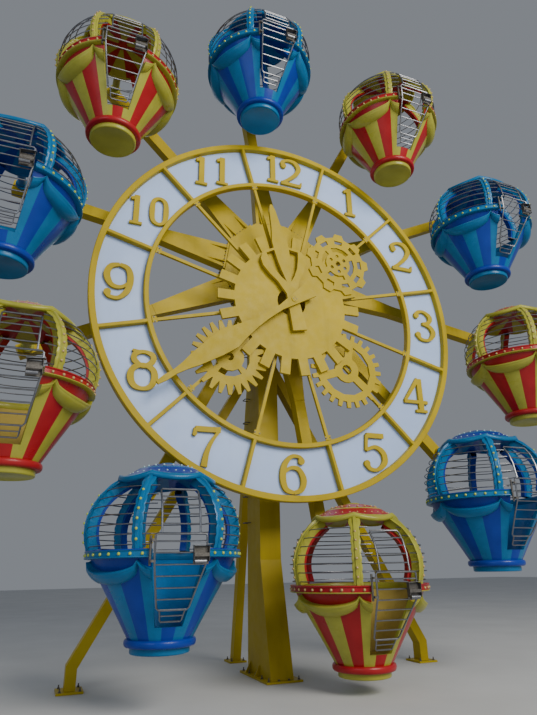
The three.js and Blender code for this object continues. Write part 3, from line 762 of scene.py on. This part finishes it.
# Height and radius, from the bottom up
TUB_OUTLINE = [(RING_TOP, 0.410), (-1.690, 0.580), (-1.344, 0.783), (-1.156, 0.892), (-1.100, 0.922),
               (RAIL_BOTTOM, 0.925)]
RIB_OUTLINE = [(RAIL_TOP, 0.990), (-0.860, 1.018), (-0.750, 1.034), (-0.640, 1.033), (-0.550, 1.017),
               (-0.460, 0.986), (-0.370, 0.944), (-0.285, 0.890), (-0.210, 0.826), (-0.140, 0.750),
               (-0.080, 0.668), (-0.030, 0.590)]
RIB_TOP = -0.036
LEAF_HEIGHT = -0.105
LEAF_REACH = 0.075
# The drape's top, foot and widest radius in the middle of a bay, each with what it gains at the ribs
DRAPE = ((-1.213, 0.128), (-1.352, 0.205), (0.956, 0.024))
# How far down the drape, as a share of its height, and how far it stands back from its widest ring
DRAPE_SECTION = [(0.00, 0.034), (0.03, 0.012), (0.10, 0.000), (0.20, 0.001), (0.30, 0.009), (0.35, 0.017),
                 (0.42, 0.019), (0.56, 0.034), (0.72, 0.056), (0.87, 0.084), (1.00, 0.118)]


def tub_radius(height):
    return between(TUB_OUTLINE, height)


def rib_radius(height):
    return between(RIB_OUTLINE, height)


def bay_share(angle):
    """0 in the middle of a bay and 1 at its ribs."""
    return abs((angle + BAY / 2) % BAY - BAY / 2) / (BAY / 2)


def in_doorway(angle):
    return angle % 360 < DOOR_HALF or angle % 360 >= 360 - DOOR_HALF


def turned(profile, form, finish):
    """A surface of revolution through rows of (radius, height)."""
    form.grid([[ring_point(r, a, z) for a in ALL_ROUND] for r, z in profile], finish, closed=True)


def tub():
    """Cone with its rolled drapes, coloured stripes, lining, floor, base ring and disc."""
    dark, light, lining = 0, 1, 2
    form = Form()
    panel_rows, cone_steps, foot_steps = 2, 6, 3
    drape_rows = panel_rows + len(DRAPE_SECTION)
    sill_row = drape_rows + cone_steps

    def column(angle):
        """Radius and height from the rail down to the base ring."""
        lift = 1 - math.sqrt(1 - bay_share(angle) ** 2)
        top, low, out = (middle + gain * lift for middle, gain in DRAPE)
        tuck = top + 0.012
        rows = [(TUB_OUTLINE[-1][1], RAIL_BOTTOM), (tub_radius(tuck) - 2 * INSET, tuck)]
        rows += [(out - back, top - share * (top - low)) for share, back in DRAPE_SECTION]
        rows += [(tub_radius(height) - INSET, height) for height in evenly(low, SILL, cone_steps)]
        return rows + [(tub_radius(height), height) for height in evenly(SILL, RING_TOP, foot_steps)[1:]]

    columns = [column(a) for a in ALL_ROUND]
    rows = [[ring_point(r, a, z) for (r, z), a in zip(row, ALL_ROUND)] for row in zip(*columns)]

    def finish(i, j):
        if i < drape_rows:
            return dark if i < panel_rows - 1 else light
        return dark if int((ALL_ROUND[j] + STRIPE / 2) % 360 // STRIPE) % 2 == 0 else light

    form.grid(rows, finish, closed=True, keep=lambda i, j: i >= sill_row or not in_doorway(ALL_ROUND[j]))
    wall = [(tub_radius(h) - WALL, h) for h in (RAIL_BOTTOM, -1.25, -1.45, -1.65, SILL, FLOOR)]
    inside = [[ring_point(r, a, z) for a in ALL_ROUND] for r, z in wall]
    form.grid(inside, lining, closed=True, keep=lambda i, j: i >= 4 or not in_doorway(ALL_ROUND[j]))
    turned([wall[-1], (0.0, FLOOR)], form, lining)
    form.grid([rows[0], inside[0]], light, closed=True, keep=lambda i, j: not in_doorway(ALL_ROUND[j]))
    for side in (-DOOR_HALF, DOOR_HALF):
        outer_edge = [rows[i][ALL_ROUND.index(side % 360)] for i in range(sill_row + 1)]
        heights = [max(SILL, p.z) for p in outer_edge]
        form.grid([outer_edge, [ring_point(tub_radius(z) - WALL, side, z) for z in heights]], light)
    sill = evenly(-DOOR_HALF, DOOR_HALF, int(2 * DOOR_HALF / STEP))
    form.grid([[ring_point(tub_radius(SILL) - back, a, SILL) for a in sill] for back in (0, WALL)], light)
    ring = [(0.410, RING_TOP), (0.430, -1.988), (0.441, -1.998), (0.447, -2.016), (0.448, -2.036),
            (0.443, -2.058), (0.430, -2.074), (0.408, RING_BOTTOM)]
    disc = [(0.372, RING_BOTTOM - 0.002), (0.372, -2.142), (0.366, BOTTOM + 0.006), (0.350, BOTTOM),
            (0.338, BOTTOM + 0.002), (0.330, BOTTOM + 0.009), (0.0, BOTTOM + 0.009)]
    turned(ring + disc, form, lambda i, j: dark if i < len(ring) else light)
    return form


def rail(dark_rows):
    """Round rail above the cone: a moulded band with a lip along each edge, open at the door."""
    dark, light = 0, 1
    form = Form()
    angles = evenly(DOOR_HALF, 360 - DOOR_HALF, int((360 - 2 * DOOR_HALF) / STEP))
    band = [(0.885, RAIL_BOTTOM), (0.985, RAIL_BOTTOM), (1.004, -1.057), (RAIL_RADIUS, -1.050),
            (1.008, -1.042), (0.996, -1.038), (0.994, -0.986), (1.003, -0.981), (1.007, -0.972),
            (1.000, RAIL_TOP), (0.885, RAIL_TOP), (0.878, -0.967), (0.878, -1.052), (0.885, RAIL_BOTTOM)]
    rows = [[ring_point(r, a, z) for a in angles] for r, z in band]
    form.grid(rows, lambda i, j: dark if i in dark_rows else light)
    for end in (0, -1):
        form.add([row[end] for row in rows[:-1]], [range(len(band) - 1)], light)
    return form


def canopy():
    """Dome, scalloped crown, striped ceiling and the shaft that the cabin hangs on."""
    dark, light = 0, 1
    form = Form()
    dome = [(0.0, 0.195), (0.060, 0.193), (0.095, 0.185), (0.105, 0.172), (0.200, 0.158), (0.300, 0.131),
            (0.385, 0.097), (0.410, 0.093), (0.430, 0.078), (0.495, 0.036), (0.560, -0.004), (0.604, -0.026)]
    light_rows = (0, 1, 2, 6, 7)
    turned(dome, form, lambda i, j: light if i in light_rows else dark)
    scallop = [(0.604, -0.026, 0.0), (0.612, -0.034, 0.036), (0.632, -0.041, 0.050), (0.653, -0.058, 0.058),
               (0.663, -0.086, 0.058), (0.655, -0.113, 0.052), (0.630, -0.125, 0.050), (0.606, -0.117, 0.046),
               (0.600, -0.100, 0.0)]
    form.grid([[ring_point(r, a, z + rise * bay_share(a) ** 2) for a in ALL_ROUND] for r, z, rise in scallop],
              light, closed=True)
    ceiling = [(0.600, -0.100), (0.450, -0.062), (0.250, -0.014), (0.085, 0.020), (0.080, 0.006),
               (0.0, 0.002)]

    def wedge(i, j):
        between_ribs = (ALL_ROUND[j] + BAY / 4) % BAY < BAY / 2
        return light if between_ribs and i < 3 else dark

    turned(ceiling, form, wedge)
    for ends, radius in (((SHAFT_FRONT, SHAFT_BACK), SHAFT_RADIUS), (COLLAR_ENDS, COLLAR_RADIUS)):
        form.tube([(0, y, 0) for y in ends], radius, 20, light)
    return form


def ribs():
    """Six deep ribs from the crown to the rail, each with a ridge, scalloped edges and a dark liner."""
    dark, light = 0, 1
    form = Form()
    reach = 0.012
    liner = (7, 8, 9)
    for angle in RIB_ANGLES:
        turn = Matrix.Rotation(math.radians(angle), 4, "Z")
        rows = []
        for height in evenly(RIB_TOP, RAIL_TOP, 66):
            slope = (rib_radius(height + reach) - rib_radius(height - reach)) / (2 * reach)
            out = Vector((0, -1, -slope)).normalized()
            wave = abs(math.sin(math.pi * (height - LOWEST_BAR) / BAR_PITCH))
            leaf = max(0.0, 1 - abs(height - LEAF_HEIGHT) / LEAF_REACH)
            half = 0.058 + 0.012 * wave + 0.024 * leaf
            ridge = 0.003 + 0.005 * wave + 0.010 * leaf
            right = [(0.017, ridge), (0.028, -0.013), (0.044, -0.010), (half, -0.024), (half - 0.006, -0.036),
                     (0.053, -0.044), (0.053, -0.142), (0.045, -0.144), (0.045, -0.178)]
            section = right + [(-x, y) for x, y in reversed(right)]
            centre = Vector((0, -rib_radius(height), height))
            rows.append([turn @ (centre + Vector((x, 0, 0)) + out * y) for x, y in section])
        form.grid(rows, lambda i, j: dark if j in liner else light, closed=True)
    return form


def beads(radius):
    """Small lights along the rail, the ribs and the dome."""
    cap, pale = 0, 1
    form = Form()
    for angle in (RIB_ANGLES[0] + BAY * (k + 0.5) / BEADS_PER_BAY for k in range(6 * BEADS_PER_BAY)):
        if not in_doorway(angle + 3) and not in_doorway(angle - 3):
            form.ball(ring_point(0.997, angle, RAIL_MIDDLE), radius, cap)
    for angle in RIB_ANGLES:
        for height in (LOWEST_BEAD + BAR_PITCH * k for k in range(BEADS_PER_RIB)):
            form.ball(ring_point(rib_radius(height) + 0.010, angle, height), radius * 0.9, cap)
    for count, ring, height, share in DOME_BEADS:
        for i in range(count):
            form.ball(ring_point(ring, 360 * i / count, height), radius * share, pale)
    return form


def window_bars(radius, levels):
    """Rings of thin bars let into the ribs, open in the doorway and wider open beside the lower gate."""
    form = Form()
    lower_gate_top, upper_stop, lower_stop = -0.78, 17.5, 21
    for height in (LOWEST_BAR + BAR_PITCH * k for k in range(levels)):
        ring = rib_radius(height) - BAR_DEPTH
        stop = upper_stop if height > lower_gate_top else lower_stop
        form.tube([ring_point(ring, a, height) for a in evenly(stop, 360 - stop, 72)], radius, 5)
    return form


# The gate's frames, rungs, hinge and latch, measured from the cabin's pivot

GATE_KNEE = -1.105
GATE_SHELF = -0.800
GATE_FOOT_BAR = -1.640
GATE_BOTTOM = -1.772
GATE_STEP_BAR = -1.705
GATE_RUNGS = (-0.885, -1.010, -1.140, -1.265, -1.395, -1.520)
# Height and share of the half width, from the top down
UPPER_FRAME = [(-0.262, 0.92), (-0.285, 1), (-0.40, 1), (-0.56, 1), (GATE_SHELF, 1)]
# Height and distance in front of the pivot
UPPER_LEAN = [(GATE_SHELF, 0.985), (-0.56, 0.948), (-0.40, 0.888), (-0.26, 0.785)]
UPPER_HALF = 0.232
UPPER_RUNGS = (-0.36, -0.46, -0.57, -0.685)
HINGE_X, HINGE_Y = -0.355, -0.965
HINGE_HEIGHTS = (-1.1497, -0.8197)
STRAP_HEIGHTS = (-1.10, -0.87)
STRAP_END = -0.296
STRAP_FRONT, STRAP_BACK = -1.014, -0.976
STRAP_HALF = 0.014
LATCH_PLATE = 0.004


def lower_frame(side, height):
    """A place on the gate's lower frame, which narrows and leans in below its knee."""
    share = min(1.0, (height - GATE_BOTTOM) / (GATE_KNEE - GATE_BOTTOM))
    proud = 0.010 if share == 1 else 0
    return Vector((side * (0.160 + 0.149 * share), -0.546 - 0.448 * share - proud, height))


def upper_frame(side, height):
    return Vector((side * UPPER_HALF, -between(UPPER_LEAN, height), height))


def gate_tubes(form, radius):
    """The lower frame with its foot step, and the upper frame, with their rungs."""
    corner = Vector((0.022, 0, 0))
    bends = (GATE_FOOT_BAR + 0.03, -1.3, GATE_KNEE, GATE_SHELF - 0.022)
    main = [lower_frame(-1, z) for z in bends]
    main += [lower_frame(-1, GATE_SHELF) + corner, lower_frame(1, GATE_SHELF) - corner]
    main += [lower_frame(1, z) for z in reversed(bends)]
    main += [lower_frame(1, GATE_FOOT_BAR) - corner, lower_frame(-1, GATE_FOOT_BAR) + corner]
    form.tube(main, radius, 8, closed=True)
    foot = 0.80
    half_step = [(foot, GATE_FOOT_BAR), (foot, GATE_BOTTOM + 0.02), (foot * 0.92, GATE_BOTTOM)]
    step = [(-side, z) for side, z in half_step] + half_step[::-1]
    form.tube([lower_frame(side, z) for side, z in step], radius * 0.85)
    form.tube([lower_frame(side, GATE_STEP_BAR) for side in (-foot, foot)], radius * 0.7)
    tall = [(-side, z) for z, side in reversed(UPPER_FRAME)] + [(side, z) for z, side in UPPER_FRAME]
    form.tube([upper_frame(side, z) for side, z in tall], radius, 8)
    for frame_at, heights in ((lower_frame, GATE_RUNGS), (upper_frame, UPPER_RUNGS)):
        for height in heights:
            form.tube([frame_at(-1, height), frame_at(1, height)], radius * 0.75)


def gate(tube_radius):
    """Bent-tube gate in three frames with thin rungs, hinge barrel, straps and latch box."""
    bright, dull = 0, 1
    form = Form()
    gate_tubes(form, tube_radius)
    form.tube([(HINGE_X, HINGE_Y, z) for z in HINGE_HEIGHTS], 0.015, 12, dull)
    for z in STRAP_HEIGHTS:
        form.block((HINGE_X, STRAP_FRONT, z - STRAP_HALF), (STRAP_END, STRAP_BACK, z + STRAP_HALF), dull)
    left, right, front, back, base, top = 0.135, 0.322, -1.082, -1.022, -1.140, -0.935
    for low, high in (((left, back - LATCH_PLATE, base), (right, back, top)),
                      ((left, front, base + 0.03), (left + LATCH_PLATE, back, top)),
                      ((right - LATCH_PLATE, front, base + 0.03), (right, back, top)),
                      ((left, front, base + 0.085), (right, front + LATCH_PLATE, base + 0.125))):
        form.block(low, high, dull)
    reach = right - left + 0.022
    form.prism([(-0.010, 0), (reach, 0.014), (reach, 0.020), (-0.010, 0.006)], front - 0.014, back,
               at=(left, top), finish=bright)
    form.tube([(x, front - 0.006, base + 0.030) for x in (left + 0.006, right - 0.045)], 0.025, 14, bright)
    return form


# Operators, one for each piece or group of like pieces

# Finishes of the two kinds of cabin, and the rows of the rail's band that take the dark one. The shell's
# two are also the slots of its pieces.
KINDS = {
    "warm": {"shell": ("red_shell", "yellow_shell"), "lining": "warm_lining",
             "lights": ("warm_bead", "warm_bead"), "dark_rows": range(4, 10)},
    "cool": {"shell": ("blue_shell", "teal_shell"), "lining": "cool_lining",
             "lights": ("cool_bead", "pale_bead"), "dark_rows": range(8, 10)},
}


def kind_of(cabin):
    """The red and yellow cabins are the even ones."""
    return "cool" if int(cabin) % 2 else "warm"


class WHEEL_OT_finishes(bpy.types.Operator):
    """Make the paints, mouldings and metals"""

    bl_idname = "wheel.finishes"
    bl_label = "Make finishes"

    def execute(self, context):
        make_finishes()
        return {"FINISHED"}


class WHEEL_OT_tower(bpy.types.Operator):
    """Paint the column, rear leg and braces, bolt them down and fit the step irons"""

    bl_idname = "wheel.tower"
    bl_label = "Dress the tower"

    def execute(self, context):
        for node in ("main_column", "rear_leg", "left_brace", "right_brace", "fixed_axle", "clock_hanger"):
            coat(node, "yellow_paint")
        fit("foot_bolts", foot_bolts(), ["bolt_steel"], "tower")
        fit("step_irons", step_irons(), ["bolt_steel"], "tower")
        return {"FINISHED"}


class WHEEL_OT_clock(bpy.types.Operator):
    """Make the rims, dial and numerals, and paint the rods"""

    bl_idname = "wheel.clock"
    bl_label = "Dress the clock"

    def execute(self, context):
        at = (0, 0, CLOCK_HEIGHT)
        for node, form in (("outer_rim", outer_rim()), ("inner_rim", inner_rim())):
            rim = fit("rolled_" + node, form, ["yellow_paint"], "tower", at)
            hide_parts(node)
        plate = fit("dial_plate", dial_plate(), ["dial_paint"], "tower", at)
        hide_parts("dial")
        fit("numerals", numerals(), ["yellow_paint"], "tower", at, bevel=0.007)
        coat("clock_rods", "yellow_paint")
        fit("rod_ends", rod_ends(), ["yellow_paint", "bolt_steel"], "tower", at)
        return {"FINISHED"}


class WHEEL_OT_gears(bpy.types.Operator):
    """Paint the toothed plate, the gears and the hands, and fit the spindle's cap"""

    bl_idname = "wheel.gears"
    bl_label = "Dress the gears and hands"

    def execute(self, context):
        for node in ("gear_plate", "gear_upper", "gear_left", "gear_right", "hour_hand", "minute_hand"):
            coat(node, "yellow_paint")
        at = (0, 0, CLOCK_HEIGHT)
        fit("spindle_cap", spindle_cap(), ["yellow_paint", "bolt_steel"], "minute_hand", at)
        return {"FINISHED"}


class WHEEL_OT_arms(bpy.types.Operator):
    """Paint the hub and arms, bolt the root flanges and fit the bearings at the tips"""

    bl_idname = "wheel.arms"
    bl_label = "Dress the hub and arms"

    def execute(self, context):
        coat("wheel_hub", "yellow_paint")
        for cabin in CABINS:
            coat("arm_" + cabin, "yellow_paint")
        fit("flange_bolts", flange_bolts(), ["bolt_steel"], "wheel")
        fit("arm_fittings", arm_fittings(), ["yellow_paint", "bolt_steel"], "wheel")
        return {"FINISHED"}


class WHEEL_OT_cabins(bpy.types.Operator):
    """Mould the tubs, rails, canopies and ribs of the cabins, with their beads, bars and gates"""

    bl_idname = "wheel.cabins"
    bl_label = "Dress the cabins"

    def execute(self, context):
        sizes = context.scene.cabin_sizes
        meshes = {}
        for kind, look in KINDS.items():
            shell = look["shell"]
            meshes[kind] = {
                "tub": mesh_of(kind + "_tub", tub(), (*shell, look["lining"]), 50),
                "rail": mesh_of(kind + "_rail", rail(look["dark_rows"]), shell, 50),
                "canopy": mesh_of(kind + "_canopy", canopy(), shell, 50),
                "ribs": mesh_of(kind + "_ribs", ribs(), shell, 50),
                "beads": mesh_of(kind + "_beads", beads(sizes.bead), look["lights"], 60),
            }
        bars = mesh_of("window_bars", window_bars(sizes.bar, sizes.bar_levels), ["stainless"], 60)
        gate_mesh = mesh_of("gate", gate(sizes.gate_bar), ["stainless", "bolt_steel"], 40)
        for cabin in CABINS:
            mesh = meshes[kind_of(cabin)]
            body = "cabin_" + cabin
            at = pivot_of(cabin)
            shell = place("tub_shell_" + cabin, mesh["tub"], body, at)
            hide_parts("tub_" + cabin)
            place("rail_" + cabin, mesh["rail"], body, at)
            top = place("canopy_shell_" + cabin, mesh["canopy"], body, at)
            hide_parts("canopy_" + cabin)
            for part in ("ribs", "beads"):
                place(f"{part}_{cabin}", mesh[part], body, at)
            place("window_bars_" + cabin, bars, body, at)
            swing = place("gate_tubes_" + cabin, gate_mesh, "gate_" + cabin, at)
            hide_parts("gate_" + cabin)
        return {"FINISHED"}


# The stage

FLOOR_REACH = 60
FLOOR_DROP = -0.002
STUDIO_TONE = (0.80, 0.86, 0.95, 1)
STUDIO_STRENGTH = 0.27
LIGHT_AIM = Vector((0, -1, 6))
# Name, place, size, power and tone
LIGHTS = [("key_light", (5.5, -20.5, 14), 11, 5100, (1.0, 0.95, 0.85)),
          ("fill_light", (-14, -14, 9), 10, 560, (0.88, 0.94, 1.0)),
          ("rim_light", (-3, 12, 15), 8, 130, (0.95, 0.97, 1.0))]
CAMERA_PLACE = (-3.741, -9.763, 1.628)
CAMERA_YAW = 21.759
CAMERA_PITCH = 20.758
CAMERA_ROLL = -1.057
CAMERA_LENS = 28.11
SENSOR_WIDTH = 36
CAMERA_REACH = 300


def camera_matrix():
    """The camera's place, and its turn to the right, its tilt upward and its roll."""
    yaw, pitch, roll = (math.radians(v) for v in (CAMERA_YAW, CAMERA_PITCH, CAMERA_ROLL))
    ahead = Vector((math.sin(yaw) * math.cos(pitch), math.cos(yaw) * math.cos(pitch), math.sin(pitch)))
    right = Vector((math.cos(yaw), -math.sin(yaw), 0))
    up = right.cross(ahead)
    level = Matrix((right, up, -ahead)).transposed()
    return Matrix.Translation(CAMERA_PLACE) @ level.to_4x4() @ Matrix.Rotation(roll, 4, "Z")


class WHEEL_OT_stage(bpy.types.Operator):
    """Set the pale floor, the soft lights and the camera"""

    bl_idname = "wheel.stage"
    bl_label = "Set the stage"

    def execute(self, context):
        scene = context.scene
        form = Form()
        edges = (-FLOOR_REACH, FLOOR_REACH)
        form.grid([[(x, y, FLOOR_DROP) for x in edges] for y in edges])
        floor = bpy.data.objects.new("stage_floor", mesh_of("stage_floor", form, ["stage_floor"]))
        scene.collection.objects.link(floor)
        world = bpy.data.worlds.new("studio")
        scene.world = world
        world.use_nodes = True
        background = world.node_tree.nodes["Background"]
        background.inputs["Color"].default_value = STUDIO_TONE
        background.inputs["Strength"].default_value = STUDIO_STRENGTH
        for name, spot, size, power, tone in LIGHTS:
            lamp = bpy.data.lights.new(name, "AREA")
            lamp.size = size
            lamp.energy = power
            lamp.color = tone
            light = bpy.data.objects.new(name, lamp)
            light.location = spot
            light.rotation_mode = "QUATERNION"
            light.rotation_quaternion = (LIGHT_AIM - Vector(spot)).to_track_quat("-Z", "Y")
            scene.collection.objects.link(light)
        view = bpy.data.cameras.new("photo_view")
        view.lens = CAMERA_LENS
        view.sensor_width = SENSOR_WIDTH
        view.clip_end = CAMERA_REACH
        camera = bpy.data.objects.new("photo_view", view)
        camera.matrix_world = camera_matrix()
        scene.collection.objects.link(camera)
        scene.camera = camera
        return {"FINISHED"}


class WHEEL_PT_panel(bpy.types.Panel):
    """Steps that dress the wheel, in order"""

    bl_idname = "WHEEL_PT_panel"
    bl_label = "Clock wheel"
    bl_space_type = "VIEW_3D"
    bl_region_type = "UI"
    bl_category = "Clock wheel"

    def draw(self, context):
        for step in STEPS:
            self.layout.operator(step.bl_idname)
        for group in (context.scene.wheel_paints, context.scene.cabin_sizes):
            box = self.layout.box()
            for key in group.__annotations__:
                box.prop(group, key)


STEPS = (WHEEL_OT_finishes, WHEEL_OT_tower, WHEEL_OT_clock, WHEEL_OT_gears, WHEEL_OT_arms, WHEEL_OT_cabins,
         WHEEL_OT_stage)
CLASSES = (PaintColours, CabinSizes, *STEPS, WHEEL_PT_panel)


def register():
    for kind in CLASSES:
        bpy.utils.register_class(kind)
    bpy.types.Scene.wheel_paints = bpy.props.PointerProperty(type=PaintColours)
    bpy.types.Scene.cabin_sizes = bpy.props.PointerProperty(type=CabinSizes)


def unregister():
    del bpy.types.Scene.cabin_sizes
    del bpy.types.Scene.wheel_paints
    for kind in reversed(CLASSES):
        bpy.utils.unregister_class(kind)


def main():
    register()
    bpy.ops.wheel.finishes()
    bpy.ops.wheel.tower()
    bpy.ops.wheel.clock()
    bpy.ops.wheel.gears()
    bpy.ops.wheel.arms()
    bpy.ops.wheel.cabins()
    bpy.ops.wheel.stage()
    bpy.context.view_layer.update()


if __name__ == "__main__":
    main()
